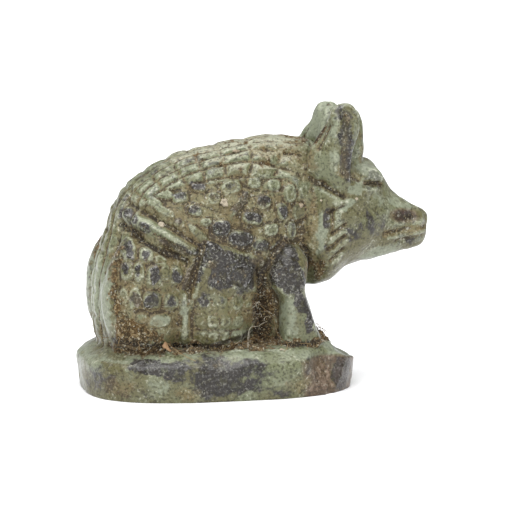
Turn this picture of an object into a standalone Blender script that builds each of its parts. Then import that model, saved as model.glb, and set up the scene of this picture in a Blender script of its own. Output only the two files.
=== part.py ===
"""Hedgehog seal amulet: a crouching long-eared hedgehog on an oval seal plate, carved from one stone.

The hedgehog faces +X, its right flank is at -Y, and the plate's underside, the seal's face, lies at Z = 0.
Rounded lumps are put together and softened into one skin, as hand-cut stone is worn, the broken and worn
places of the plate are taken off, and then the quills, the haunches and the face are cut as grooves.
"""

import math

import bmesh
import bpy
import numpy as np
from mathutils import Euler, Matrix, Vector

MM = 0.001

# The seal plate
PLATE_LENGTH = 12.6 * MM
PLATE_WIDTH = 8.6 * MM
PLATE_WALL = 1.65 * MM
PLATE_CROWN = 0.6 * MM
PLATE_SQUARENESS = 2.8

# The animal: its lumps and cuts are placed in hundredths of its length, above the plate's wall
FIGURE_LENGTH = 15.8 * MM
UNIT = FIGURE_LENGTH / 158

# The surface
VOXEL = 0.1 * MM
SOFTENING_ROUNDS = 10
TRIANGLES = 9400

# The cuts, in hundredths of the animal's length
QUILL_DEPTH = 1.7
BOSS_TOP = 0.7
BOSS_FOOT = 1.35
ROW_SPACING_TOP = 4.8
ROW_SPACING_RUMP = 7.6
SEGMENT_DEGREES = 11.7

# The quill bosses left standing on each flank: along, height, half length, half height, tilt in degrees
BOSSES = (
    [(-28.2, 76.3, 4.7, 1.8, -10), (-32.2, 72.2, 3.3, 1.8, -20), (-27.8, 68.6, 4.9, 1.8, -25)]
    + [(-20.8, 74.6, 3.3, 2.1, 10), (-21.8, 63.3, 2.6, 1.8, -20), (-14.0, 59.0, 5.6, 1.6, -40)]
    + [(-11.9, 78.8, 3.3, 1.7, -10), (-14.5, 69.1, 3.0, 2.3, -10), (-9.7, 63.7, 2.3, 1.6, 0)]
    + [(-5.5, 73.9, 3.0, 2.7, 0), (-2.7, 60.8, 4.0, 3.2, 0), (2.6, 78.2, 4.7, 2.7, 10)]
    + [(6.7, 71.2, 6.4, 1.5, 50), (6.3, 55.6, 5.6, 3.2, -10), (12.1, 64.3, 4.7, 2.7, -15)]
    + [(13.9, 79.8, 2.8, 2.3, 0), (16.2, 51.5, 3.7, 2.5, -15), (17.9, 71.1, 3.5, 2.7, 0)]
    + [(21.5, 58.4, 3.3, 2.7, 0), (23.1, 78.3, 3.0, 2.3, 0), (26.9, 66.0, 2.3, 3.7, 10)]
    + [(30.9, 73.7, 2.8, 3.7, 0), (31.9, 56.6, 1.9, 3.9, 0), (34.8, 65.0, 2.3, 3.2, 0)]
)
HAUNCH_BOSSES = (
    [(-45.2, 52.5, 3.1, 4.9, 0), (-37.6, 50.3, 3.2, 3.5, 0), (-31.1, 47.8, 2.9, 2.4, 0)]
    + [(-47.0, 43.1, 2.9, 4.1, 0), (-41.4, 43.0, 2.5, 3.9, 0), (-34.7, 40.5, 3.5, 4.8, 0)]
    + [(-29.3, 42.3, 1.9, 3.6, 0), (-24.5, 40.3, 2.9, 3.9, 0), (-48.7, 31.8, 2.2, 3.6, 0)]
    + [(-43.5, 30.8, 2.7, 5.0, 0), (-35.8, 29.6, 4.2, 4.3, 0), (-26.7, 28.8, 3.4, 3.8, 0)]
    + [(-40.8, 21.5, 3.0, 2.4, 0), (-32.0, 20.3, 5.3, 2.9, 0), (-25.0, 14.3, 3.6, 2.0, 0)]
)
KNEE_BOSSES = (
    [(-11.8, 28.0, 2.9, 3.0, 0), (-4.1, 28.5, 2.9, 2.8, 0), (4.0, 26.6, 2.9, 2.8, 0)]
    + [(10.3, 23.4, 2.2, 2.8, 0), (-14.0, 19.6, 2.3, 2.9, 0), (-8.1, 19.0, 2.5, 2.9, 0)]
    + [(-2.1, 19.0, 2.4, 2.9, 0), (4.5, 18.3, 2.6, 2.7, 0), (-13.4, 12.2, 2.4, 2.4, 0)]
    + [(-7.6, 11.8, 2.3, 2.3, 0), (-2.1, 11.8, 2.2, 2.3, 0), (4.0, 11.0, 2.6, 2.2, 0)]
)


def place(x, y, z):
    """A point of the animal, in metres, from units along it, across it and above the plate's wall."""
    return Vector((x * UNIT, y * UNIT, PLATE_WALL + z * UNIT))


def ball(block, centre, radii, lean=0, turn=0, roll=0):
    """An ellipsoid lump: lean tips it about Y, turn swings it about Z, roll tips it sideways, in degrees."""
    spin = Euler([math.radians(a) for a in (roll, lean, turn)]).to_matrix().to_4x4()
    size = Matrix.Diagonal([r * UNIT for r in radii]).to_4x4()
    seat = Matrix.Translation(place(*centre)) @ spin @ size
    bmesh.ops.create_uvsphere(block, u_segments=36, v_segments=20, radius=1, matrix=seat)


def pair(block, centre, radii, lean=0, turn=0, roll=0):
    """The same lump on both flanks."""
    x, y, z = centre
    ball(block, (x, -y, z), radii, lean, -turn, -roll)
    ball(block, (x, y, z), radii, lean, turn, roll)


def smooth_outline(corners, steps=6):
    """A closed Catmull-Rom curve through the corners."""
    p = np.array(corners, float)
    before, after, beyond = np.roll(p, 1, 0), np.roll(p, -1, 0), np.roll(p, -2, 0)
    curve = []
    for t in np.arange(steps) / steps:
        bend = before - 2.5 * p + 2 * after - 0.5 * beyond
        twist = 0.5 * (beyond - before + 3 * (p - after))
        curve.append(p + 0.5 * t * (after - before) + t * t * bend + t**3 * twist)
    return np.stack(curve, 1).reshape(-1, 2)


def pillow(block, corners, middle, half_width, fullness=2.2, rings=14, y=0.0):
    """A lump with a given side outline, whose thickness swells from the outline to its middle."""
    edge = smooth_outline(corners)
    middle = np.array(middle, float)
    sheets = []
    for side in (-1, 1):
        sheet = []
        for k in range(rings + 1):
            share = math.sin(0.5 * math.pi * k / rings)
            swell = side * (1 - share**fullness) ** (1 / fullness)
            ring = (middle + share * (edge - middle))[: len(edge) if k else 1]
            sheet.append([block.verts.new(place(x, y + swell * half_width(x), z)) for x, z in ring])
        sheets.append(sheet)
    for sheet, flip in zip(sheets, (False, True)):
        for inner, outer in zip(sheet, sheet[1:]):
            for j in range(len(outer)):
                i = (j + 1) % len(outer)
                face = [outer[j], outer[i]] + ([inner[i], inner[j]] if len(inner) > 1 else [inner[0]])
                block.faces.new(face[::-1] if flip else face)
    bmesh.ops.weld_verts(block, targetmap=dict(zip(sheets[1][-1], sheets[0][-1])))


def superellipse(length, width, squareness, count=96):
    angles = 2 * math.pi * np.arange(count) / count
    c, s = np.cos(angles), np.sin(angles)
    x = 0.5 * length * np.sign(c) * np.abs(c) ** (2 / squareness)
    y = 0.5 * width * np.sign(s) * np.abs(s) ** (2 / squareness)
    return np.stack([x, y], 1)


def plate(block):
    """The seal plate: a slab whose wall leans in a little below and whose top rises towards the animal."""
    outline = superellipse(PLATE_LENGTH, PLATE_WIDTH, PLATE_SQUARENESS)
    profile = (
        (0.955, -0.4 * MM),
        (0.975, 0.2 * MM),
        (1.0, PLATE_WALL - 0.25 * MM),
        (0.985, PLATE_WALL),
        (0.9, PLATE_WALL + 0.5 * PLATE_CROWN),
        (0.8, PLATE_WALL + PLATE_CROWN),
    )
    rings = [[block.verts.new((share * x, share * y, z)) for x, y in outline] for share, z in profile]
    for low, high in zip(rings, rings[1:]):
        for j in range(len(low)):
            i = (j + 1) % len(low)
            block.faces.new((low[j], low[i], high[i], high[j]))
    block.faces.new(rings[0][::-1])
    block.faces.new(rings[-1])


def trunk(block):
    outline = (
        [(-52, 2), (-56, 14), (-57, 28), (-55, 42), (-51, 55), (-46.5, 68), (-38, 79), (-20, 89.5)]
        + [(0, 94.5), (18, 97.5), (34, 97.5), (46, 94), (52, 78), (51, 58), (46, 40), (41, 27)]
        + [(39, 12), (37, 0), (0, -6), (-35, -4)]
    )
    pillow(block, outline, (-8, 36), lambda x: np.interp(x, (-60, -30, 0, 30, 52), (33, 34, 32, 27, 24)))


def haunches(block):
    pair(block, (-35, 20, 30), (20.8, 16, 31), lean=8)
    pair(block, (-17, 19, 20), (9, 13, 17))
    pair(block, (-4, 22, 19), (16, 13, 18))


def forelegs(block):
    outline = [(17.5, 36), (22.5, 46), (28, 51), (34, 49), (38.5, 42), (36.5, 32), (39.2, 21), (43.6, 9)]
    outline += [(44, 1), (26, 1), (25, 10), (24, 26)]
    for side in (-1, 1):
        pillow(block, outline, (31, 27), lambda x: 11.5, y=side * 21.5)


def neck(block):
    pair(block, (41, 10, 58), (7, 12, 21))


def head(block):
    outline = (
        [(40, 32), (49, 29), (56, 34), (61, 37), (75, 40), (88, 42), (95, 44), (98, 47), (99.6, 54)]
        + [(98.6, 60), (92, 64.3), (86.5, 67), (82, 71), (79, 76.5), (76.5, 80.5), (69, 86.5)]
        + [(56, 90), (44, 88), (36, 64)]
    )
    stations, halves = (40, 50, 65, 80, 90, 100), (26, 25, 20, 13, 10, 9)
    pillow(block, outline, (58, 60), lambda x: np.interp(x, stations, halves))
    ball(block, (90, 0, 53.5), (9.2, 8.5, 8.5), lean=8)
    pair(block, (70.5, 9.7, 79.4), (6.5, 4.5, 4), lean=30)


def ears(block):
    """Each ear is a cup open to the front: an outer wall, a lower inner wall and a back wall between."""
    outer = [(38.5, 90.5), (44.5, 99), (48.5, 105.5), (50.5, 111), (54.5, 114), (59.5, 113.5), (62.5, 109.5)]
    outer += [(63, 103), (60.8, 95), (59, 88), (58, 78), (56, 73), (51, 74), (44, 79), (38.5, 83)]
    inner = [(54, 84), (56, 98), (58, 107), (62, 110), (66, 107), (67.5, 97), (67, 86), (60, 80)]
    rear = [(49.8, 76), (49.3, 90), (51, 103), (54, 111.6), (58.8, 111.6), (60.5, 102), (59, 90), (58, 76)]
    for side, height in ((-1, 1), (1, 0.9)):
        outer_wall = [(x, 73 + height * (z - 73)) for x, z in outer]
        inner_wall = [(x, 73 + height * (z - 73)) for x, z in inner]
        rear_wall = [(x, 73 + height * (z - 73)) for x, z in rear]
        pillow(block, outer_wall, (54, 93), lambda x: np.interp(x, (38, 50), (2.5, 6.5)), y=side * 17)
        pillow(block, inner_wall, (61, 94), lambda x: 4.5, y=side * 7.5)
        pillow(block, rear_wall, (54.5, 94), lambda x: 7.5, fullness=3, y=side * 13.5)


def read(mesh):
    """The mesh's points in units, and its normals."""
    p = np.empty(len(mesh.vertices) * 3)
    n = np.empty(len(mesh.vertices) * 3)
    mesh.vertices.foreach_get("co", p)
    mesh.vertices.foreach_get("normal", n)
    p = p.reshape(-1, 3) / UNIT
    p[:, 2] -= PLATE_WALL / UNIT
    return p, n.reshape(-1, 3)


def write(mesh, p):
    p = p * UNIT
    p[:, 2] += PLATE_WALL
    mesh.vertices.foreach_set("co", p.ravel())
    mesh.update()


def ramp(v, low, high):
    """0 below low, 1 above high, and eased between."""
    t = np.clip((v - low) / (high - low), 0, 1)
    return t * t * (3 - 2 * t)


def band(v, low, high, ease):
    return ramp(v, low - ease, low) * (1 - ramp(v, high, high + ease))


def lines(v, width):
    """1 on every whole number of v, falling to 0 within the width."""
    return np.exp(-(((v - np.round(v)) / width) ** 2))


def stroke(p, path, width, depth):
    """A groove along a path seen from the side, in units; a negative depth leaves a raised bead."""
    nearest = np.full(len(p), 1e9)
    side = p[:, (0, 2)]
    for a, b in zip(np.array(path[:-1], float), np.array(path[1:], float)):
        along = np.clip((side - a) @ (b - a) / ((b - a) @ (b - a)), 0, 1)
        nearest = np.minimum(nearest, np.linalg.norm(side - a - along[:, None] * (b - a), axis=1))
    return depth * np.exp(-((nearest / width) ** 2))


def waver(p, size, seed):
    """A slow random wave over the stone, from -1 to 1, with waves of about the given size in units."""
    chance = np.random.default_rng(seed)
    total = np.zeros(len(p))
    for _ in range(6):
        aim = chance.normal(size=3)
        aim *= 2 * math.pi / size / np.linalg.norm(aim)
        total += np.sin(p @ aim + chance.uniform(0, 6.3))
    return total / 3.5


def broken_and_worn(p):
    """The plate's worn front end, its old break at the near front corner and the chips along its edge."""
    x, y, z = p.T.copy()
    step = ramp(x + 0.25 * z, 28, 44)
    limit = 31.5 - 3.5 * ramp(z, -16, 2) + 1.2 * waver(p, 14, 3)
    near = -(46 + (limit - 46) * step * (1 - ramp(z, 4, 7)))
    chip = 1.6 * np.exp(-(((x + 6) / 8) ** 2) - ((z - 1) / 2.5) ** 2)
    p[:, 1] = np.maximum(y, near) + np.where(y < -30, chip, 0)
    top = 0.7 - 0.45 * (x - 53) - 0.012 * (y + 20) * (x - 53) + 0.5 * waver(p, 12, 4)
    p[:, 2] = np.where((x > 50) & (z > top) & (z < 10), top, z)
    return p


def standing(p, bosses):
    """How far each point stands in a boss: 1 on top of it and 0 beside it."""
    stand = np.zeros(len(p))
    for x, z, length, height, tilt in bosses:
        c, s = math.cos(math.radians(tilt)), math.sin(math.radians(tilt))
        along = ((p[:, 0] - x) * c + (p[:, 2] - z) * s) / length
        across = ((p[:, 2] - z) * c - (p[:, 0] - x) * s) / height
        reach = (np.abs(along) ** 2.5 + np.abs(across) ** 2.5) ** 0.4
        stand = np.maximum(stand, 1 - ramp(reach, BOSS_TOP, BOSS_FOOT))
    return stand


def quills(p):
    """The quills: rows of segments along the back, bosses on the flanks, grids on the haunches and knees."""
    wander = np.stack([waver(p, 34, k) for k in (11, 12, 13)], 1)
    x, y, z = (p + 0.9 * wander).T
    across = np.abs(y)
    angle = np.degrees(np.arctan2(z - 36, x + 8))
    angle = np.where(angle < -90, angle + 360, angle)
    rump = ramp(angle, 110, 165)
    rows = across / (ROW_SPACING_TOP + (ROW_SPACING_RUMP - ROW_SPACING_TOP) * rump) + 0.5 * (1 - rump)
    border = np.interp(angle, (50, 72, 90, 114, 133, 160, 185), (4.2, 5, 5, 4.1, 3.2, 2.1, 1.2))
    on_body = ramp(z, 2, 6) * (1 - ramp(x, 36, 41))
    back = on_body * band(angle, 48, 225, 8) * (1 - ramp(rows, border + 0.1, border + 0.3))
    segments = (angle - 77.5) / SEGMENT_DEGREES + 0.5 + 0.1 * np.floor(rows)
    worn = 1 - 0.55 * (1 - ramp(across, 4, 11)) * (1 - rump)
    cut = worn * back * np.maximum(lines(rows, 0.17), (0.85 - 0.45 * rump) * lines(segments, 0.13))
    flank = on_body * ramp(rows, border + 0.1, border + 0.35)
    haunch = (1 - ramp(z + 0.52 * (x + 51), 66.5, 68.5)) * (1 - ramp(x - 0.28 * (z - 53), -12, -10.5))
    knee = band(x, -16, 14, 1) * (1 - ramp(z + 0.012 * (x + 3) ** 2, 33, 35)) * (1 - haunch)
    shoulder = ramp(x, 12, 15) * (1 - ramp(z + 0.5 * np.abs(x - 29), 53, 55.5))
    open_flank = flank * (1 - haunch) * (1 - shoulder) * ramp(z + 0.35 * (x + 8), 53.5, 56)
    cut = np.maximum(cut, open_flank * (1 - standing(p, BOSSES)))
    rear = np.interp(z, (22, 33, 40, 55), (-48, -51.6, -51, -48.4))
    panel = flank * haunch * ramp(x - rear, 0, 1.5) * ramp(z, 13, 17) * (1 - ramp(z, 57, 60))
    scored = (0.8 + 0.3 * waver(p, 25, 15)) * (1 - ramp(z, 46, 49)) * lines((z - 36.5) / 11, 0.08)
    cut = np.maximum(cut, panel * np.maximum(0.9 * (1 - standing(p, HAUNCH_BOSSES)), scored))
    panel = flank * knee * ramp(z, 8, 10) * (1 - ramp(z, 29, 31))
    scored = 0.65 * lines((z - 23.6 + 0.006 * (x + 3) ** 2) / 8.5, 0.1)
    cut = np.maximum(cut, panel * np.maximum(0.5 * (1 - standing(p, KNEE_BOSSES)), scored))
    return QUILL_DEPTH * cut * (0.85 + 0.2 * waver(p, 21, 14))


def face_and_edges(p, n):
    """The cuts made one by one: the haunches' borders, the ruff, the cheeks, the face and the ears."""
    sideways = ramp(np.abs(n[:, 1]), 0.15, 0.5) * ramp(p[:, 2], 2, 5)
    turns = 2 * math.pi * np.arange(13) / 12
    knee_ring = [(4.6 + 5.4 * math.cos(t), 38.5 + 5.4 * math.sin(t)) for t in turns]
    cuts = (
        ([(-52, 66), (-48, 62), (-19, 46.5)], 2.2, 3.2),
        ([(-46, 73), (-28, 62.5), (-14, 54)], 1.7, 2.2),
        ([(-47, 67.5), (-18, 51)], 2.2, -1.2),
        ([(-37, 61.5), (-20, 51.5)], 0.8, 1.6),
        ([(-10.9, 54.6), (-14.8, 43.5), (-18.2, 32.8)], 1.6, 2.0),
        ([(-18, 32.5), (-17.2, 12)], 1.1, 0.9),
        ([(-21, 31), (-20.5, 12)], 1.9, -1.2),
        ([(-9, 53.5), (-0.8, 48.3), (11, 41.5)], 1.9, -1.3),
        (knee_ring, 1.3, -1.0),
        ([(-8.5, 34.5), (-6.5, 37), (-3.5, 37), (-1.5, 34.5)], 1.0, -1.0),
        ([(-48, 60), (-49.2, 50), (-51, 40), (-51.6, 33), (-50.6, 26), (-48, 22)], 1.9, 1.7),
        ([(-51, 6), (18, 6.5)], 1.5, 1.3),
        ([(15, 40), (17, 33), (17, 11)], 3.0, 3.0),
        ([(18, 24), (19, 13)], 4.2, 4.0),
        ([(17, 38), (22, 48), (28, 53), (36, 51), (40, 42), (38, 33)], 1.3, 1.8),
        ([(33, 40), (35, 28), (39, 14)], 1.6, -0.6),
        ([(41, 74), (41, 60), (39, 44), (37, 37)], 2.4, 1.2),
        ([(49.5, 55), (56, 59)], 1.1, 1.6),
        ([(47.6, 47.5), (55.5, 53.4)], 1.2, 1.8),
        ([(49, 42), (55, 47.3)], 1.1, 1.6),
        ([(47.6, 65), (55, 67.7)], 1.1, 1.4),
        ([(49.5, 67), (49.5, 56)], 1.3, 1.4),
        ([(77, 52.2), (86.6, 53.6), (97, 54.2)], 1.6, 1.2),
        ([(82.4, 48.4), (96, 49.8)], 1.0, 1.0),
        ([(82, 60.4), (90.5, 59)], 3.0, 1.4),
        ([(59.5, 80.3), (63.4, 78)], 0.9, 1.2),
        ([(67, 76.7), (75.7, 74.6)], 1.1, 2.3),
        ([(44.8, 77.4), (55.4, 72)], 1.5, 2.5),
        ([(48.2, 104), (43.8, 94)], 1.2, 1.8),
        ([(56.5, 109), (55.5, 98), (55, 82)], 2.4, 1.4),
    )
    lips = 1.2 * np.exp(-(((p[:, 2] - 54.2) / 1.6) ** 2)) * ramp(p[:, 0], 94, 97) * (1 - sideways)
    return sideways * sum(stroke(p, *cut) for cut in cuts) + lips


def carve(mesh):
    p, n = read(mesh)
    p = broken_and_worn(p)
    write(mesh, p)
    p, n = read(mesh)
    depth = quills(p) + face_and_edges(p, n) + 0.35 * waver(p, 18, 21)
    write(mesh, p - n * depth[:, None])


def modified(mesh, kind, **settings):
    """A copy of the mesh after one modifier."""
    holder = bpy.data.objects.new("holder", mesh)
    bpy.context.scene.collection.objects.link(holder)
    step = holder.modifiers.new("step", kind)
    for setting, value in settings.items():
        setattr(step, setting, value)
    graph = bpy.context.evaluated_depsgraph_get()
    result = bpy.data.meshes.new_from_object(holder.evaluated_get(graph))
    bpy.data.objects.remove(holder)
    return result


def flat_underside(mesh):
    """The stone ground flat at Z = 0."""
    block = bmesh.new()
    block.from_mesh(mesh)
    everything = block.verts[:] + block.edges[:] + block.faces[:]
    bmesh.ops.bisect_plane(block, geom=everything, plane_co=(0, 0, 0), plane_no=(0, 0, 1), clear_inner=True)
    rim = [e for e in block.edges if e.is_boundary]
    bmesh.ops.holes_fill(block, edges=rim, sides=0)
    block.to_mesh(mesh)
    block.free()


def stone_material():
    material = bpy.data.materials.new("glazed_steatite")
    material.use_nodes = True
    shader = material.node_tree.nodes["Principled BSDF"]
    shader.inputs["Base Color"].default_value = (0.27, 0.29, 0.2, 1)
    shader.inputs["Roughness"].default_value = 0.5
    return material


def main():
    for old in list(bpy.data.objects):
        bpy.data.objects.remove(old)
    home = bpy.data.collections.new("hedgehog_seal_amulet")
    bpy.context.scene.collection.children.link(home)
    block = bmesh.new()
    for lump in (plate, trunk, haunches, forelegs, neck, head, ears):
        lump(block)
    lumps = bpy.data.meshes.new("lumps")
    block.to_mesh(lumps)
    block.free()
    skin = modified(lumps, "REMESH", mode="VOXEL", voxel_size=VOXEL)
    stone = modified(skin, "SMOOTH", factor=0.5, iterations=SOFTENING_ROUNDS)
    carve(stone)
    stone = modified(stone, "SMOOTH", factor=0.5, iterations=2)
    share = TRIANGLES / (2 * len(stone.vertices))
    stone = modified(stone, "DECIMATE", ratio=share, use_collapse_triangulate=True)
    flat_underside(stone)
    stone.name = "hedgehog_seal_amulet"
    stone.materials.clear()
    stone.materials.append(stone_material())
    amulet = bpy.data.objects.new("hedgehog_seal_amulet", stone)
    home.objects.link(amulet)


main()
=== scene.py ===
"""Looks for the hedgehog seal amulet: a long-eared hedgehog on an oval seal plate, in worn glazed stone.

The stone is modelled again as one fine skin over the same lumps and cuts as the solid, with the marks of the
hand, the packed earth and the cut seal face added. Grit and dust fibres are strewn over the earth. The animal
faces +X, its right flank is at -Y, and the seal face lies at Z = 0.
"""

import math

import bmesh
import bpy
import numpy as np
from mathutils import Euler, Matrix, Vector
from mathutils.bvhtree import BVHTree


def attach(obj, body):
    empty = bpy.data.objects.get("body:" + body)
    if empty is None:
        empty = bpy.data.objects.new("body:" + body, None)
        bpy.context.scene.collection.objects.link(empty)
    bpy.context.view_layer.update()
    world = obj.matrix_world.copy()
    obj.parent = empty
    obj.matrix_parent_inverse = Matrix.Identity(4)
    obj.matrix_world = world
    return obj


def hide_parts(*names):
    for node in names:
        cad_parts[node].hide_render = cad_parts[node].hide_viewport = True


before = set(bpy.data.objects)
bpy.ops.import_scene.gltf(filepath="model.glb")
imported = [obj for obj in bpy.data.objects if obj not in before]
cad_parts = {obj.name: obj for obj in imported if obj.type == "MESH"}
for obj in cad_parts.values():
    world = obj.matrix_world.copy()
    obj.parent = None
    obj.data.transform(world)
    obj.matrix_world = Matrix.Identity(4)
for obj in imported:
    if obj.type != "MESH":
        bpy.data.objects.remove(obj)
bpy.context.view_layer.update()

MM = 0.001

# The seal plate
PLATE_LENGTH = 12.6 * MM
PLATE_WIDTH = 8.6 * MM
PLATE_WALL = 1.65 * MM
PLATE_CROWN = 0.6 * MM
PLATE_SQUARENESS = 2.8

# The animal: its lumps and cuts are placed in units, 158 to its length, and heights start at the plate's wall
FIGURE_LENGTH = 15.8 * MM
UNIT = FIGURE_LENGTH / 158
FLOOR = -PLATE_WALL / UNIT

# The surface
VOXEL = 0.089 * MM
SOFTENING_ROUNDS = 11

# The cuts, in the same units
QUILL_DEPTH = 1.75
BOSS_TOP = 0.82
BOSS_FOOT = 1.25
ROW_SPACING_TOP = 4.8
ROW_SPACING_RUMP = 7.6
SEGMENT_DEGREES = 11.7
SEAL_DEPTH = 1.3
SEAL_ROW = 8.4
SEAL_STROKE = 5.6
SEAL_LEAN = 0.45
SEAL_BORDER = 0.82
SEAL_BORDER_WIDTH = 0.022
UNEVENNESS = 0.35

# The ears: the height they are drawn from, and how much lower the far one is
EAR_ROOT = 73
FAR_EAR_HEIGHT = 0.9

# How far packed earth stands out of the corners, and where a line towards the right flank starts
EARTH_HEIGHT = 1.3
BESIDE = -80

# The bosses left standing on each flank: along, height, half length, half height, any tilt in degrees
BOSSES = (
    (-28.2, 76.3, 4.7, 1.8, -10), (-32.2, 72.2, 3.3, 1.8, -20), (-27.8, 68.6, 4.9, 1.8, -25),
    (-20.8, 74.6, 3.3, 2.1, 10), (-21.8, 63.3, 2.6, 1.8, -20), (-14, 59, 5.6, 1.6, -40),
    (-11.9, 78.8, 3.3, 1.7, -10), (-14.5, 69.1, 3, 2.3, -10), (-9.7, 63.7, 2.3, 1.6), (-5.5, 73.9, 3, 2.7),
    (-2.7, 60.8, 4, 3.2), (2.6, 78.2, 4.7, 2.7, 10), (6.7, 71.2, 6.4, 1.5, 50), (6.3, 55.6, 5.6, 3.2, -10),
    (12.1, 64.3, 4.7, 2.7, -15), (13.9, 79.8, 2.8, 2.3), (16.2, 51.5, 3.7, 2.5, -15),
    (17.9, 71.1, 3.5, 2.7), (21.5, 58.4, 3.3, 2.7), (23.1, 78.3, 3, 2.3), (26.9, 66, 2.3, 3.7, 10),
    (30.9, 73.7, 2.8, 3.7), (31.9, 56.6, 1.9, 3.9), (34.8, 65, 2.3, 3.2),
)
HAUNCH_BOSSES = (
    (-45.2, 52.5, 3.1, 4.9), (-37.6, 50.3, 3.2, 3.5), (-31.1, 47.8, 2.9, 2.4), (-47, 43.1, 2.9, 4.1),
    (-41.4, 43, 2.5, 3.9), (-34.7, 40.5, 3.5, 4.8), (-29.3, 42.3, 1.9, 3.6), (-24.5, 40.3, 2.9, 3.9),
    (-48.7, 31.8, 2.2, 3.6), (-43.5, 30.8, 2.7, 5), (-35.8, 29.6, 4.2, 4.3), (-26.7, 28.8, 3.4, 3.8),
    (-40.8, 21.5, 3, 2.4), (-32, 20.3, 5.3, 2.9), (-25, 14.3, 3.6, 2),
)
KNEE_BOSSES = (
    (-11.8, 28, 2.9, 3), (-4.1, 28.5, 2.9, 2.8), (4, 26.6, 2.9, 2.8), (10.3, 23.4, 2.2, 2.8),
    (-14, 19.6, 2.3, 2.9), (-8.1, 19, 2.5, 2.9), (-2.1, 19, 2.4, 2.9), (4.5, 18.3, 2.6, 2.7),
    (-13.4, 12.2, 2.4, 2.4), (-7.6, 11.8, 2.3, 2.3), (-2.1, 11.8, 2.2, 2.3), (4, 11, 2.6, 2.2),
)


def place(x, y, z):
    """A point of the animal, in metres, from units along it, across it and above the plate's wall."""
    return Vector((x * UNIT, y * UNIT, PLATE_WALL + z * UNIT))


def ball(block, centre, radii, lean=0):
    """An ellipsoid lump, tipped about Y by its lean in degrees."""
    spin = Euler((0, math.radians(lean), 0)).to_matrix().to_4x4()
    size = Matrix.Diagonal([r * UNIT for r in radii]).to_4x4()
    seat = Matrix.Translation(place(*centre)) @ spin @ size
    bmesh.ops.create_uvsphere(block, u_segments=36, v_segments=20, radius=1, matrix=seat)


def pair(block, centre, radii, lean=0):
    """The same lump on both flanks."""
    x, y, z = centre
    ball(block, (x, -y, z), radii, lean)
    ball(block, (x, y, z), radii, lean)


def smooth_outline(corners, steps=6):
    """A closed Catmull-Rom curve through the corners."""
    p = np.array(corners, float)
    before, after, beyond = np.roll(p, 1, 0), np.roll(p, -1, 0), np.roll(p, -2, 0)
    curve = []
    for t in np.arange(steps) / steps:
        bend = before - 2.5 * p + 2 * after - 0.5 * beyond
        twist = 0.5 * (beyond - before + 3 * (p - after))
        curve.append(p + 0.5 * t * (after - before) + t * t * bend + t**3 * twist)
    return np.stack(curve, 1).reshape(-1, 2)


def pillow(block, corners, middle, half_width, fullness=2.2, rings=14, y=0.0):
    """A lump with a given side outline, whose thickness swells from the outline to its middle."""
    edge = smooth_outline(corners)
    middle = np.array(middle, float)
    sheets = []
    for side in (-1, 1):
        sheet = []
        for k in range(rings + 1):
            share = math.sin(0.5 * math.pi * k / rings)
            swell = side * (1 - share**fullness) ** (1 / fullness)
            ring = (middle + share * (edge - middle))[: len(edge) if k else 1]
            sheet.append([block.verts.new(place(x, y + swell * half_width(x), z)) for x, z in ring])
        sheets.append(sheet)
    for sheet, flip in zip(sheets, (False, True)):
        for inner, outer in zip(sheet, sheet[1:]):
            for j in range(len(outer)):
                i = (j + 1) % len(outer)
                face = [outer[j], outer[i]] + ([inner[i], inner[j]] if len(inner) > 1 else [inner[0]])
                block.faces.new(face[::-1] if flip else face)
    bmesh.ops.weld_verts(block, targetmap=dict(zip(sheets[1][-1], sheets[0][-1])))


def plate_outline(corners=96):
    """An oval, squarer as its squareness grows over 2."""
    angles = 2 * math.pi * np.arange(corners) / corners
    c, s = np.cos(angles), np.sin(angles)
    x = 0.5 * PLATE_LENGTH * np.sign(c) * np.abs(c) ** (2 / PLATE_SQUARENESS)
    y = 0.5 * PLATE_WIDTH * np.sign(s) * np.abs(s) ** (2 / PLATE_SQUARENESS)
    return np.stack([x, y], 1)


def plate(block):
    """The seal plate: a slab whose wall leans in a little below and whose top rises towards the animal."""
    profile = (
        (0.955, -0.4 * MM), (0.975, 0.2 * MM), (1.0, PLATE_WALL - 0.25 * MM), (0.985, PLATE_WALL),
        (0.9, PLATE_WALL + 0.5 * PLATE_CROWN), (0.8, PLATE_WALL + PLATE_CROWN),
    )
    rings = [[block.verts.new((share * x, share * y, z)) for x, y in plate_outline()] for share, z in profile]
    for low, high in zip(rings, rings[1:]):
        for j in range(len(low)):
            i = (j + 1) % len(low)
            block.faces.new((low[j], low[i], high[i], high[j]))
    block.faces.new(rings[0][::-1])
    block.faces.new(rings[-1])


def trunk(block):
    outline = (
        [(-52, 2), (-56, 14), (-57, 28), (-55, 42), (-51, 55), (-46.5, 68), (-38, 79), (-20, 89.5)]
        + [(0, 94.5), (18, 97.5), (34, 97.5), (46, 94), (52, 78), (51, 58), (46, 40), (41, 27)]
        + [(39, 12), (37, 0), (0, -6), (-35, -4)]
    )
    pillow(block, outline, (-8, 36), lambda x: np.interp(x, (-60, -30, 0, 30, 52), (33, 34, 32, 27, 24)))


def haunches(block):
    pair(block, (-35, 20, 30), (20.8, 16, 31), lean=8)
    pair(block, (-17, 19, 20), (9, 13, 17))
    pair(block, (-4, 22, 19), (16, 13, 18))


def forelegs(block):
    outline = [(17.5, 36), (22.5, 46), (28, 51), (34, 49), (38.5, 42), (36.5, 32), (39.2, 21), (43.6, 9)]
    outline += [(44, 1), (26, 1), (25, 10), (24, 26)]
    for side in (-1, 1):
        pillow(block, outline, (31, 27), lambda x: 11.5, y=side * 21.5)


def neck(block):
    pair(block, (41, 10, 58), (7, 12, 21))


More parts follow.
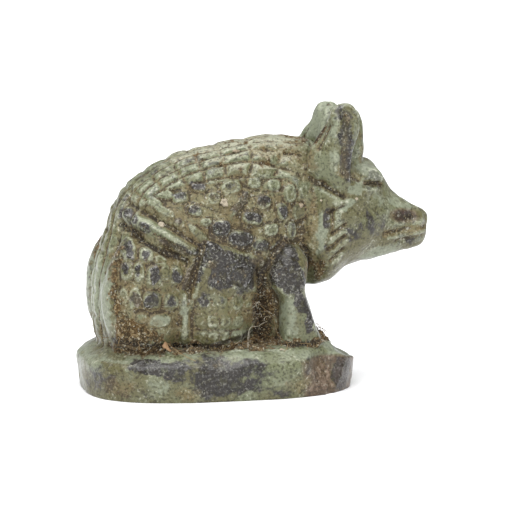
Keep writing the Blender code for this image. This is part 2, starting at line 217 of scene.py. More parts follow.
def head(block):
    outline = (
        [(40, 32), (49, 29), (56, 34), (61, 37), (75, 40), (88, 42), (95, 44), (98, 47), (99.6, 54)]
        + [(98.6, 60), (92, 64.3), (86.5, 67), (82, 71), (79, 76.5), (76.5, 80.5), (69, 86.5)]
        + [(56, 90), (44, 88), (36, 64)]
    )
    stations, halves = (40, 50, 65, 80, 90, 100), (26, 25, 20, 13, 10, 9)
    pillow(block, outline, (58, 60), lambda x: np.interp(x, stations, halves))
    ball(block, (90, 0, 53.5), (9.2, 8.5, 8.5), lean=8)
    pair(block, (70.5, 9.7, 79.4), (6.5, 4.5, 4), lean=30)


def ears(block):
    """Each ear is a cup open to the front: an outer, a lower inner and a back wall."""
    outer = [(38.5, 90.5), (44.5, 99), (48.5, 105.5), (50.5, 111), (54.5, 114), (59.5, 113.5), (62.5, 109.5)]
    outer += [(63, 103), (60.8, 95), (59, 88), (58, 78), (56, 73), (51, 74), (44, 79), (38.5, 83)]
    inner = [(54, 84), (56, 98), (58, 107), (62, 110), (66, 107), (67.5, 97), (67, 86), (60, 80)]
    rear = [(49.8, 76), (49.3, 90), (51, 103), (54, 111.6), (58.8, 111.6), (60.5, 102), (59, 90), (58, 76)]
    for side, height in ((-1, 1), (1, FAR_EAR_HEIGHT)):
        walls = [[(x, EAR_ROOT + height * (z - EAR_ROOT)) for x, z in wall] for wall in (outer, inner, rear)]
        pillow(block, walls[0], (54, 93), lambda x: np.interp(x, (38, 50), (2.5, 6.5)), y=side * 17)
        pillow(block, walls[1], (61, 94), lambda x: 4.5, y=side * 7.5)
        pillow(block, walls[2], (54.5, 94), lambda x: 7.5, fullness=3, y=side * 13.5)


def read(mesh):
    """The mesh's points in units, and its normals."""
    p = np.empty(len(mesh.vertices) * 3)
    n = np.empty(len(mesh.vertices) * 3)
    mesh.vertices.foreach_get("co", p)
    mesh.vertices.foreach_get("normal", n)
    p = p.reshape(-1, 3) / UNIT
    p[:, 2] -= PLATE_WALL / UNIT
    return p, n.reshape(-1, 3)


def write(mesh, p):
    """Puts the mesh's points where p says, in units."""
    p = p * UNIT
    p[:, 2] += PLATE_WALL
    mesh.vertices.foreach_set("co", p.ravel())
    mesh.update()


def ramp(v, low, high):
    """0 below low, 1 above high, and eased between."""
    t = np.clip((v - low) / (high - low), 0, 1)
    return t * t * (3 - 2 * t)


def band(v, low, high, ease):
    """1 between low and high, eased to 0 on either side."""
    return ramp(v, low - ease, low) * (1 - ramp(v, high, high + ease))


def lines(v, width):
    """1 on every whole number of v, falling to 0 within the width."""
    return np.exp(-(((v - np.round(v)) / width) ** 2))


def stroke(p, path, width, depth):
    """A groove along a path seen from the side, in units; a negative depth leaves a raised bead."""
    nearest = np.full(len(p), 1e9)
    side = p[:, (0, 2)]
    for a, b in zip(np.array(path[:-1], float), np.array(path[1:], float)):
        along = np.clip((side - a) @ (b - a) / ((b - a) @ (b - a)), 0, 1)
        nearest = np.minimum(nearest, np.linalg.norm(side - a - along[:, None] * (b - a), axis=1))
    return depth * np.exp(-((nearest / width) ** 2))


def waver(p, size, seed):
    """A slow random wave over the stone, from -1 to 1, with waves of about the given size in units."""
    chance = np.random.default_rng(seed)
    total = np.zeros(len(p))
    for _ in range(6):
        aim = chance.normal(size=3)
        aim *= 2 * math.pi / size / np.linalg.norm(aim)
        total += np.sin(p @ aim + chance.uniform(0, 6.3))
    return total / 3.5


def broken_and_worn(p):
    """The plate's worn front end, its old break at the near front corner and the chips along its edge."""
    x, y, z = p.T.copy()
    step = ramp(x + 0.25 * z, 28, 44)
    limit = 31.5 - 3.5 * ramp(z, -16, 2) + 1.2 * waver(p, 14, 3)
    near = -(46 + (limit - 46) * step * (1 - ramp(z, 4, 7)))
    chip = 1.6 * np.exp(-(((x + 6) / 8) ** 2) - ((z - 1) / 2.5) ** 2)
    p[:, 1] = np.maximum(y, near) + np.where(y < -30, chip, 0)
    top = 0.7 - 0.45 * (x - 53) - 0.012 * (y + 20) * (x - 53) + 0.5 * waver(p, 12, 4)
    p[:, 2] = np.where((x > 50) & (z > top) & (z < 10), top, z)
    return p


def faces_a_flank(p, n):
    """1 where the skin over the plate faces sideways, falling to 0 where it faces any other way."""
    return ramp(np.abs(n[:, 1]), 0.15, 0.5) * ramp(p[:, 2], 2, 5)


def oval(p, x, z, length, height, tilt=0):
    """Each point's place along and across an oval seen from the side, which ends at 1 and -1."""
    c, s = math.cos(math.radians(tilt)), math.sin(math.radians(tilt))
    along = ((p[:, 0] - x) * c + (p[:, 2] - z) * s) / length
    across = ((p[:, 2] - z) * c - (p[:, 0] - x) * s) / height
    return along, across


def patch(p, *spot):
    """1 in the middle of an oval patch seen from the side, falling to 0 at its edge."""
    return 1 - ramp(np.hypot(*oval(p, *spot)), 0.45, 1.25)


def standing(p, bosses):
    """How far each point stands in a boss: 1 on top of it and 0 beside it."""
    stand = np.zeros(len(p))
    for boss in bosses:
        along, across = oval(p, *boss)
        reach = (np.abs(along) ** 2.5 + np.abs(across) ** 2.5) ** 0.4
        stand = np.maximum(stand, 1 - ramp(reach, BOSS_TOP, BOSS_FOOT))
    return stand


def quills(p):
    """The quills: rows of segments along the back, and bosses on the flanks, the haunches and the knees."""
    wander = np.stack([waver(p, 34, k) for k in (11, 12, 13)], 1)
    x, y, z = (p + 0.9 * wander).T
    across = np.abs(y)
    angle = np.degrees(np.arctan2(z - 36, x + 8))
    angle = np.where(angle < -90, angle + 360, angle)
    rump = ramp(angle, 110, 165)
    rows = across / (ROW_SPACING_TOP + (ROW_SPACING_RUMP - ROW_SPACING_TOP) * rump) + 0.5 * (1 - rump)
    border = np.interp(angle, (50, 72, 90, 114, 133, 160, 185), (4.2, 5, 5, 4.1, 3.2, 2.1, 1.2))
    on_body = ramp(z, 2, 6) * (1 - ramp(x, 36, 41))
    back = on_body * band(angle, 48, 225, 8) * (1 - ramp(rows, border + 0.1, border + 0.3))
    segments = (angle - 77.5) / SEGMENT_DEGREES + 0.5 + 0.1 * np.floor(rows)
    worn = 1 - 0.55 * (1 - ramp(across, 4, 11)) * (1 - rump)
    cut = worn * back * np.maximum(lines(rows, 0.17), (0.85 - 0.45 * rump) * lines(segments, 0.13))
    flank = on_body * ramp(rows, border + 0.1, border + 0.35)
    haunch = (1 - ramp(z + 0.52 * (x + 51), 66.5, 68.5)) * (1 - ramp(x - 0.28 * (z - 53), -12, -10.5))
    knee = band(x, -16, 14, 1) * (1 - ramp(z + 0.012 * (x + 3) ** 2, 33, 35)) * (1 - haunch)
    shoulder = ramp(x, 12, 15) * (1 - ramp(z + 0.5 * np.abs(x - 29), 53, 55.5))
    open_flank = flank * (1 - haunch) * (1 - shoulder) * ramp(z + 0.35 * (x + 8), 53.5, 56)
    cut = np.maximum(cut, open_flank * (1 - standing(p, BOSSES)))
    rear = np.interp(z, (22, 33, 40, 55), (-48, -51.6, -51, -48.4))
    panel = flank * haunch * ramp(x - rear, 0, 1.5) * ramp(z, 13, 17) * (1 - ramp(z, 57, 60))
    scored = (0.8 + 0.3 * waver(p, 25, 15)) * (1 - ramp(z, 46, 49)) * lines((z - 36.5) / 11, 0.08)
    cut = np.maximum(cut, panel * np.maximum(0.9 * (1 - standing(p, HAUNCH_BOSSES)), scored))
    panel = flank * knee * ramp(z, 8, 10) * (1 - ramp(z, 29, 31))
    scored = 0.65 * lines((z - 23.6 + 0.006 * (x + 3) ** 2) / 8.5, 0.1)
    cut = np.maximum(cut, panel * np.maximum(0.5 * (1 - standing(p, KNEE_BOSSES)), scored))
    return QUILL_DEPTH * cut * (0.85 + 0.2 * waver(p, 21, 14))


def face_and_edges(p, n):
    """The cuts made one by one: the haunches' borders, the ruff, the cheeks, the face and the ears."""
    sideways = faces_a_flank(p, n)
    turns = 2 * math.pi * np.arange(13) / 12
    knee_ring = [(4.6 + 5.4 * math.cos(t), 38.5 + 5.4 * math.sin(t)) for t in turns]
    cuts = (
        ([(-52, 66), (-48, 62), (-19, 46.5)], 2.2, 3.2), ([(-46, 73), (-28, 62.5), (-14, 54)], 1.7, 2.2),
        ([(-47, 67.5), (-18, 51)], 2.2, -1.2), ([(-37, 61.5), (-20, 51.5)], 0.8, 1.6),
        ([(-10.9, 54.6), (-14.8, 43.5), (-18.2, 32.8)], 1.6, 2.0), ([(-18, 32.5), (-17.2, 12)], 1.1, 0.9),
        ([(-21, 31), (-20.5, 12)], 1.9, -1.2), ([(-9, 53.5), (-0.8, 48.3), (11, 41.5)], 1.9, -1.3),
        (knee_ring, 1.3, -1.0), ([(-8.5, 34.5), (-6.5, 37), (-3.5, 37), (-1.5, 34.5)], 1.0, -1.0),
        ([(-48, 60), (-49.2, 50), (-51, 40), (-51.6, 33), (-50.6, 26), (-48, 22)], 1.9, 1.7),
        ([(-51, 6), (18, 6.5)], 1.5, 1.3), ([(15, 40), (17, 33), (17, 11)], 3.0, 3.0),
        ([(18, 24), (19, 13)], 4.2, 4.0),
        ([(17, 38), (22, 48), (28, 53), (36, 51), (40, 42), (38, 33)], 1.3, 1.8),
        ([(33, 40), (35, 28), (39, 14)], 1.6, -0.6), ([(41, 74), (41, 60), (39, 44), (37, 37)], 2.4, 1.2),
        ([(49.5, 55), (56, 59)], 1.1, 1.6), ([(47.6, 47.5), (55.5, 53.4)], 1.2, 1.8),
        ([(49, 42), (55, 47.3)], 1.1, 1.6), ([(47.6, 65), (55, 67.7)], 1.1, 1.4),
        ([(49.5, 67), (49.5, 56)], 1.3, 1.4), ([(77, 52.2), (86.6, 53.6), (97, 54.2)], 1.6, 1.2),
        ([(82.4, 48.4), (96, 49.8)], 1.0, 1.0), ([(82, 60.4), (90.5, 59)], 3.0, 1.4),
        ([(59.5, 80.3), (63.4, 78)], 0.9, 1.2), ([(67, 76.7), (75.7, 74.6)], 1.1, 2.3),
        ([(44.8, 77.4), (55.4, 72)], 1.5, 2.5), ([(48.2, 104), (43.8, 94)], 1.2, 1.8),
        ([(56.5, 109), (55.5, 98), (55, 82)], 2.4, 1.4),
    )
    lips = 1.2 * np.exp(-(((p[:, 2] - 54.2) / 1.6) ** 2)) * ramp(p[:, 0], 94, 97) * (1 - sideways)
    return sideways * sum(stroke(p, *cut) for cut in cuts) + lips


def placed(name, data):
    """A new object in the scene."""
    thing = bpy.data.objects.new(name, data)
    bpy.context.scene.collection.objects.link(thing)
    return thing


def mesh_of(holder):
    """The mesh that an object shows, after its modifiers. The object itself is taken away."""
    graph = bpy.context.evaluated_depsgraph_get()
    mesh = bpy.data.meshes.new_from_object(holder.evaluated_get(graph))
    bpy.data.objects.remove(holder)
    return mesh


def modified(mesh, kind, **settings):
    """A copy of the mesh after one modifier."""
    holder = placed("holder", mesh)
    step = holder.modifiers.new("step", kind)
    for setting, value in settings.items():
        setattr(step, setting, value)
    return mesh_of(holder)


def hand_marks(p, n, cut):
    """The marks of the hand and of wear that are too fine for the solid."""
    sideways = faces_a_flank(p, n)
    marks = (
        ([(60.5, 110.5), (62.8, 105), (62.4, 101), (60.2, 95.5), (58.6, 89.5), (57.4, 77.5)], 0.7, -1.0),
        ([(65, 105), (64.2, 99), (62, 92), (60.6, 86), (60, 79)], 1.4, 1.1),
        ([(52.5, 108), (50.5, 96), (51, 84)], 1.2, -0.6),
        ([(93.5, 62.5), (96, 58.5), (94.5, 55.5)], 1.0, -0.8),
        ([(78, 50), (88, 50.8), (97, 51.9)], 0.9, -0.7),
        ([(65.5, 73.8), (71, 73), (74.5, 74.5)], 1.0, -0.7), ([(45, 68), (44.5, 55), (45, 44)], 1.6, -1.0),
        ([(60, 62), (66, 58), (71, 60)], 2.2, -0.6), ([(52, 52), (60, 55)], 1.0, 0.6),
        ([(51, 45.5), (60, 50)], 1.0, 0.6), ([(-12, 71.5), (0, 66.5)], 0.7, 0.5),
        ([(-8, 77), (-1, 70)], 0.7, 0.5), ([(8, 79), (20, 75.5)], 0.7, 0.5),
        ([(13, 60.5), (27, 62)], 0.7, 0.5),
    )
    depth = sideways * sum(stroke(p, *mark) for mark in marks)
    dents = ramp(waver(p, 9, 31), 0.45, 0.8) + ramp(waver(p, 6, 32), 0.5, 0.9)
    depth = (depth + 0.3 * waver(p, 11, 33) + 0.16 * waver(p, 5, 34) + 0.35 * dents) * (0.6 + 0.6 * cut)
    for bosses, share, dish in ((BOSSES, 0.8, 0.45), (HAUNCH_BOSSES, 0.7, 0.25)):
        for x, z, length, height, *tilt in bosses:
            depth += dish * sideways * patch(p, x, z, share * length, share * height, *tilt)
    return depth


def seal_face(p):
    """The cut seal face: a border that follows the plate's outline, around rows of plain slanting strokes."""
    x, y, z = p.T
    half = np.array([PLATE_LENGTH, PLATE_WIDTH]) / 2 / UNIT
    power = PLATE_SQUARENESS
    share = ((np.abs(x) / half[0]) ** power + (np.abs(y) / half[1]) ** power) ** (1 / power)
    border = np.exp(-(((share - SEAL_BORDER) / SEAL_BORDER_WIDTH) ** 2))
    row = np.round(y / SEAL_ROW)
    lean = np.where(row % 2 == 0, SEAL_LEAN, -SEAL_LEAN)
    within = y - row * SEAL_ROW
    bars = lines((x + lean * within + 1.9 * row) / SEAL_STROKE, 0.17) * band(np.abs(within), -1, 2.3, 0.9)
    inside = 1 - ramp(share, 0.7, 0.74)
    return SEAL_DEPTH * np.maximum(border, inside * bars) * (1 - ramp(z - FLOOR, 0.05, 0.4))


def neighbours(mesh):
    """The two ends of every edge."""
    edges = np.empty(len(mesh.edges) * 2, int)
    mesh.edges.foreach_get("vertices", edges)
    return edges.reshape(-1, 2)


def blurred(values, edges, rounds):
    """The values spread over the skin, a ring of neighbours at a time."""
    a, b = np.concatenate([edges, edges[:, ::-1]]).T
    count = np.bincount(a, minlength=len(values))[:, None]
    values = values.reshape(len(values), -1).copy()
    for _ in range(rounds):
        around = [np.bincount(a, weights=column[b], minlength=len(values)) for column in values.T]
        values = 0.5 * values + 0.5 * np.stack(around, 1) / count
    return values.squeeze()


# Where the glaze has turned dark: strength, along, height, half length, half height, any tilt
DARK_GLAZE = (
    (1.5, -9, 50.5, 7, 4.5), (1.5, 3.5, 45.5, 12, 4, -24), (1.4, -15.8, 41.5, 10, 3.4, 62),
    (1.3, -3.8, 39, 5.5, 5.5), (1.1, 7.5, 36.5, 5, 8.5), (0.9, 0, 44, 11, 7, -20), (1.4, -2.6, 59, 6, 4.4),
    (1.4, 6.8, 54.6, 7.4, 4, -10), (1, 17.3, 50.2, 4.6, 3.4), (2, 27.3, 46, 5.2, 7.5),
    (2, 24.5, 39, 9, 5.6), (1.7, 30.5, 34.5, 5.6, 5), (1.3, 33, 26.4, 6.5, 3, -62),
    (0.9, 37, 17.5, 2.4, 6.5), (0.5, -12.8, 64.8, 2.6, 1.6), (0.5, -58, 38, 2.4, 13),
    (1.15, -45, 52.3, 2.4, 4.8), (1, -47.2, 44, 1.9, 3), (1, -41.4, 43.2, 1.9, 3.4),
    (1.2, -34.5, 41, 2.8, 5), (1.1, -24.2, 40.2, 2.2, 4.2), (1, -43.3, 30.2, 1.9, 4.2),
    (1.1, -36, 29.6, 3.2, 4), (0.9, -26.7, 28.8, 2.4, 3), (0.9, -37.6, 50.6, 2.4, 2.8),
    (0.9, -11.3, 28.7, 3, 3.2), (0.5, -4, 27.6, 2, 2), (1, -41.8, 65.2, 4.6, 3, -40),
    (0.9, -36, 60.2, 4.6, 2.6, -35), (1.1, -24.6, 53, 8.5, 2, -29), (0.75, 55.4, 109, 5, 4.6),
    (1.1, 55.8, 99, 3.6, 8), (1.1, 56.6, 86.5, 3.6, 9.5), (0.9, 47.4, 62.6, 2, 5.5),
    (0.5, 46.6, 48, 1.6, 4), (0.6, 70, 58.8, 7, 7), (0.6, 58.6, 97, 3.2, 9), (0.5, 61, 55, 7, 5),
    (0.7, 86.5, 59.6, 6, 2.4, -8), (0.45, 90, 48, 6, 3), (1, -11.9, 79.2, 3.8, 2, -10),
    (0.9, -20.8, 75, 3.6, 2.3, 10), (0.9, -5.5, 74.6, 3, 2.6), (1, -14.5, 69.8, 3.2, 2.3),
    (0.9, -21.8, 64, 2.6, 2), (1.1, 6.7, 71.2, 6.6, 1.6, 50), (1.1, 17.9, 71.9, 3.6, 2.6),
    (1, 12.4, 65, 5, 2.8, -15), (0.9, 26.9, 66.6, 2.4, 3.8, 10), (0.8, 32, 57.6, 2, 4),
    (0.7, -46, 73, 8, 4, 50), (0.65, -32, 83.5, 9, 3, 32), (0.5, -12, 88.5, 8, 2.4, 12),
    (0.6, 2, 79, 3, 1.5), (0.8, 14.2, 44, 4, 5), (1.4, -37, -0.3, 9, 3), (1, -22.3, -2.4, 10, 5),
    (1.15, -9, -5, 13, 10), (0.9, 7.5, -1, 10, 3.8), (0.75, 6, -9.5, 10, 4), (0.7, 16, -4, 8, 3),
    (0.55, -55, -7, 6.5, 9), (1.5, 52.5, -8, 5.6, 8), (0.6, -62.2, -5, 2, 8), (0.6, -44, -12, 9, 4),
    (0.6, 22, -12.5, 9, 3), (0.7, 37, -2, 5, 4),
)

# How much further the dark glaze runs than its patches are drawn, along and up
DARK_SPREAD = (1.1, 1.15)

# Where the glaze is pale and clean, in the same order
PALE_GLAZE = (
    (1, -55.5, 30, 3.2, 20), (0.5, -36, 66.5, 12, 1.6, -35), (0.75, 28, 19, 4, 12),
    (0.5, -34, -8.5, 7.5, 5), (0.5, 23, -6.5, 9, 6.5), (0.45, -46, -4, 6, 5), (0.75, -60, 1, 5, 8),
    (0.6, 60, 98, 1.6, 14), (0.8, 44.7, 54.4, 2.6, 12.5), (1, 61.4, 74.1, 4.6, 3.2),
    (0.9, 56, 67.5, 5.6, 2.4, 20), (0.8, 74, 43.5, 14, 3.4, 10), (0.9, 85, 65, 9, 2.4, -25),
    (0.5, 93, 57, 3, 4), (0.5, 96, 47, 5, 3), (0.7, 50.4, 104, 2.8, 8, -15), (0.6, 50.4, 88, 2.6, 8),
    (0.2, 44.5, 88, 7, 6), (0.5, 62, 96, 3, 10), (0.6, 48, 103, 4, 8, -30), (0.4, 20, 45, 5, 2.4, 50),
    (0.8, -20.5, 22, 1.6, 11), (0.3, 36, 74, 4, 10), (0.8, -32, 20, 6, 3.4), (0.6, -47.5, 41, 2, 4),
    (0.5, -44.5, 27, 2, 4), (0.6, 0, 13.5, 16, 2.4, -3), (0.5, 10, 24, 3, 4), (0.4, -4, 27, 5, 4),
    (0.7, 2, 5.5, 7, 2), (0.5, -26, 4, 14, 2), (0.8, 69, 82, 8, 3.4, -25), (0.35, 6, 74, 6, 5),
    (0.4, 26, 78, 5, 5), (0.4, -28, 70, 9, 5, -30), (0.5, 72, 70, 8, 3, -40),
)

# Where earth is rubbed thinly into the skin: along, height, half length, half height, any tilt
RUBBED = (
    (62, 80, 4, 2.6, -20), (53, 84, 8, 3, -35), (41.5, 52, 2.8, 20), (37, 88, 8, 12),
    (64.5, 94, 2.4, 12, 8), (-36, 16, 22, 9), (10, 24, 4, 9), (-7.5, 44.5, 3, 3), (16, 46, 6, 4),
    (88, 52.5, 12, 1.8, 6), (0, 72, 22, 6, -5), (-24, 64, 12, 5, -40), (-5.8, 2, 6, 4), (22, 92, 8, 4),
    (-50, -10, 9, 6), (30, -10, 10, 5), (-20, -12, 8, 4), (-45, 24, 6, 16),
)

# The gaps where the haunch, the knee and the foreleg meet the plate, painted dark as shade, and the haunch's
# rear edge
FOOT_GAPS = (
    [(-51, 10.8), (-36, 9.2), (-21, 6.8), (-8.8, 7.4), (5, 10.6), (16.7, 12)],
    [(24, 7.4), (33, 6.2), (40, 7)],
)
HAUNCH_EDGE = [(-48.4, 55), (-49.2, 50), (-51, 40), (-51.6, 33), (-50.6, 26), (-48, 22)]

# How many rings of neighbours a place is measured against: for creases, and for broad hollows
NEAR_RINGS = 8
WIDE_RINGS = 60


def surface_story(mesh, p, n, cut, gouge):
    """What happened to each place of the stone, and where painted shade and painted top light fall, from 0 to
    1, for its finish to read.
    """
    x, y, z = p.T
    edges = neighbours(mesh)
    near = np.einsum("ij,ij->i", blurred(p, edges, NEAR_RINGS) - p, n)
    wide = np.einsum("ij,ij->i", blurred(p, edges, WIDE_RINGS) - p, n)
    crease = ramp(near, 0.06, 0.34)
    hollow = np.clip(ramp(near, 0.03, 0.3) + 0.5 * ramp(wide, 0.3, 1.6), 0, 1)
    crown = ramp(-near, 0.03, 0.28) * (0.4 + 0.6 * ramp(z, 2, 5))
    sides = ramp(np.abs(n[:, 1]), 0.1, 0.4)
    dark = np.zeros(len(p))
    shifts = [waver(p, 7, seed) + 0.6 * waver(p, 3, seed + 1) for seed in (44, 46)]
    drift = np.stack([shifts[0], 0 * x, shifts[1]], 1) * np.where(y > 0, 5, 0.9)[:, None]
    for strength, along, up, length, height, *tilt in DARK_GLAZE:
        spot = patch(p + drift, along, up, DARK_SPREAD[0] * length, DARK_SPREAD[1] * height, *tilt)
        dark = np.maximum(dark, strength * spot)
    far_ear = ramp(z, 90, 98) * ramp(y, 1, 4)
    dark *= 1 - 0.8 * far_ear
    # Upward faces along the back: bleached glaze, painted lighter still as top light
    bleach_and_top_light = ramp(z + 0.1 * x, 79, 92) * ramp(n[:, 2], 0.3, 0.75) * (1 - ramp(x, 30, 46))
    # The plate's upward-facing top is pale, partly as a painted highlight along its edge
    pale = 0.75 * ramp(z, 0.1, 1.1) * (1 - ramp(z, 4.6, 6.2)) * (0.8 + 0.4 * waver(p, 13, 49))
    pale = np.maximum(pale, 1.3 * far_ear)
    for strength, *spot in PALE_GLAZE:
        pale = np.maximum(pale, strength * patch(p + drift, *spot))
    slope = z + 0.8 * waver(p, 11, 48) - 3.4 * ramp(-x, 32, 44)
    foot = ramp(slope, 5, 6.2) * (1 - ramp(z + 1.5 * waver(p, 9, 41), 6.5, 10)) * (1 - ramp(x, 50, 56))
    between_ears = patch(p, 43.6, 99.5, 9, 2.2, 50)
    low_haunch = 1 - ramp(z + 0.65 * (x + 50) + 2 * waver(p, 12, 42), 20, 31)
    low_haunch *= 0.9 * ramp(x, -52.5, -50) * (1 - ramp(x, -24, -14)) * ramp(z, 2, 6)
    low_haunch = np.maximum(low_haunch, stroke(p, HAUNCH_EDGE, 2.3, 0.8) * ramp(np.abs(y), 14, 18))
    recess = patch(p, 17.5, 19, 6.5, 18) * (1 - ramp(np.abs(y), 28, 31.5))
    behind_ears = 0.4 * patch(p, 38, 92, 9, 7) * (1 - ramp(np.abs(y), 12, 18))
    mane = 0.45 * ramp(z, 82, 90) * (1 - ramp(x, 32, 40)) * (0.5 + 0.5 * waver(p, 8, 43))
    chin = np.maximum(0.5 * patch(p, 38, 42, 5, 14, 10), 0.7 * patch(p, 44.5, 38.5, 3.4, 6))
    earth = np.max([foot, low_haunch, recess, behind_ears, between_ears, mane, chin], axis=0)
    nostril = patch(p, 86.5, 59.6, 7.6, 3.3, -8)
    gaps = [stroke(p, gap, 1.6, 1) for gap in FOOT_GAPS]
    # Painted shade in the gaps at the foot, the deepest cuts, the nostril and the valley between the ears
    gap_shade = np.max([*gaps, 0.66 * ramp(gouge, 1.3, 2.3), 0.75 * nostril], axis=0) * sides + 0.6 * between_ears
    earth *= ramp(z - FLOOR, 6, 17)
    rub = np.max([patch(p + drift, *spot) for spot in RUBBED], axis=0)
    broken = ramp(x + 0.1 * z, 30, 34) * ramp(-n[:, 1], 0.1, 0.4) * ramp(-y, 10, 16)
    broken = np.maximum(broken * (1 - ramp(z, -0.5, 1.5)), 1.3 * nostril * sides)
    grit = (foot + recess + 0.12 * low_haunch + 0.2 * behind_ears) * (1 - 0.7 * np.clip(gap_shade, 0, 1))
    tufts = 0.35 + 0.65 * ramp(waver(p, 16, 50), -0.2, 0.5)
    dust = (foot + 0.8 * recess + 0.3 * low_haunch) * tufts
    marks = {"hollow": hollow, "crease": crease, "crown": crown, "dark": dark * (0.35 + 0.65 * sides)}
    marks |= {"cut": cut, "rub": 0.6 * rub, "bleach_and_top_light": bleach_and_top_light, "pale": pale, "broken": broken}
    return marks | {"earth": earth, "gap_shade": gap_shade, "grit": grit, "dust": dust}


def pack_earth(p, n, marks):
    """Earth fills the corners of the foot and the recess behind the foreleg, and stands a little rough."""
    fill = ramp(marks["earth"], 0.5, 1) * (0.55 + 0.5 * waver(p, 7, 51) + 0.35 * waver(p, 3.2, 52))
    low = 1 - ramp(p[:, 2], 10, 30)
    return p + n * (EARTH_HEIGHT * fill * low)[:, None]


def make_stone():
    """The whole stone as one fine skin, with its story written on it for its finish."""
    block = bmesh.new()
    for lump in (plate, trunk, haunches, forelegs, neck, head, ears):
        lump(block)
    lumps = bpy.data.meshes.new("lumps")
    block.to_mesh(lumps)
    block.free()
    skin = modified(lumps, "REMESH", mode="VOXEL", voxel_size=VOXEL)
    stone = modified(skin, "SMOOTH", factor=0.5, iterations=SOFTENING_ROUNDS)
    p, _ = read(stone)
    write(stone, broken_and_worn(p))
    stone = modified(stone, "SMOOTH", factor=0.5, iterations=2)
    p, n = read(stone)
    gouge = face_and_edges(p, n)
    cut = quills(p) + gouge
    share = np.clip(cut / QUILL_DEPTH, 0, 1)
    depth = cut + UNEVENNESS * waver(p, 18, 21) + hand_marks(p, n, share)
    write(stone, p - n * depth[:, None])
    stone = modified(stone, "SMOOTH", factor=0.5, iterations=1)
    p, n = read(stone)
    marks = surface_story(stone, p, n, share, gouge)
    p = pack_earth(p, n, marks)
    p[:, 2] = np.maximum(p[:, 2], FLOOR)
    p[:, 2] += seal_face(p)
    write(stone, p)
    for name, values in marks.items():
        stone.attributes.new(name, "FLOAT", "POINT").data.foreach_set("value", values.astype(np.float32))
    stone.shade_smooth()
    stone.name = "worn_stone"
    return placed("worn_stone", stone)


# How strong the studio's light is, which the paints are thinned for
STUDIO_LIGHT = 1.6


def paint(red, green, blue):
    """A colour given as it looks in the studio's strong light, 0 to 255, made linear."""
    tones = np.array([red, green, blue]) / 255
    linear = np.where(tones <= 0.04045, tones / 12.92, ((tones + 0.055) / 1.055) ** 2.4)
    return (*(linear / STUDIO_LIGHT), 1.0)


GLAZE_OLIVE = paint(112, 108, 72)
GLAZE_GREEN = paint(126, 131, 98)
GLAZE_THIN = paint(104, 96, 56)
GLAZE_PALE = paint(154, 161, 136)
# Bleached glaze, painted lighter as top light on the upward faces along the back
BLEACHED_AND_TOPLIT = paint(186, 186, 160)
BLEACHED_AND_TOPLIT_WARM = paint(164, 156, 130)
# Worn edges, painted paler as a highlight along every rim
WORN_EDGE_AND_HIGHLIGHT = paint(184, 190, 162)
DARK_GLAZE_DEEP = paint(28, 24, 22)
DARK_GLAZE_GREY = paint(58, 54, 50)
# Painted glints: the pale specks laid over the dark glaze
DARK_GLAZE_PAINTED_GLINT = paint(168, 168, 166)
BARE_STONE = paint(92, 64, 50)
BARE_STONE_LIGHT = paint(146, 120, 104)
RUBBED_EARTH = paint(126, 107, 72)
RUBBED_OLIVE = paint(146, 138, 102)
# Dark earth, also used as painted shade in creases and hollows
DEEP_EARTH_AND_SHADE = paint(54, 40, 24)
# Painted shade: near black for the gaps at the foot and the deepest cuts
GAP_SHADE = paint(34, 25, 16)
EARTH = paint(108, 84, 52)
EARTH_LIGHT = paint(160, 140, 100)
FINE_DIRT = paint(48, 40, 24)
GOLDEN_GRIT = paint(166, 148, 108)
PALE_GRIT = paint(222, 220, 200)

# What lies loose on the stone: most of it, its lighter share and its few pale pieces
GRIT_PAINTS = (paint(74, 54, 34), paint(140, 114, 76), paint(204, 192, 168))
DUST_PAINTS = (paint(116, 88, 52), paint(170, 144, 100), paint(226, 218, 198))
TAN_PAINTS = (paint(132, 98, 66), paint(196, 156, 112), paint(216, 186, 148))

# The finish: the sizes of its spots, its roughness, and how far off its second noise is read
CLOUD = 2.2 * MM
MOTTLE = 0.65 * MM
PATCHES = 0.5 * MM
FLECK = 0.17 * MM
CRUMB = 0.075 * MM
GRAIN = 0.062 * MM
FINEST = 0.05 * MM
ROUGH_HEIGHT = 0.052 * MM
ASIDE = (0.031, 0.017, 0.023)


def fill(socket, value):
    """Sets a socket, or links it where the value is another node's output or a wire."""
    value = value.socket if isinstance(value, Wire) else value
    if isinstance(value, bpy.types.NodeSocket):
        socket.id_data.links.new(value, socket)
    else:
        socket.default_value = value


def add_node(tree, kind, settings=None, sockets=None):
    """Adds a node, sets it up, fills its sockets and gives back its outputs."""
    node = tree.nodes.new(kind)
    for name, value in (settings or {}).items():
        setattr(node, name, value)
    for name, value in (sockets or {}).items():
        fill(node.inputs[name], value)
    return node.outputs


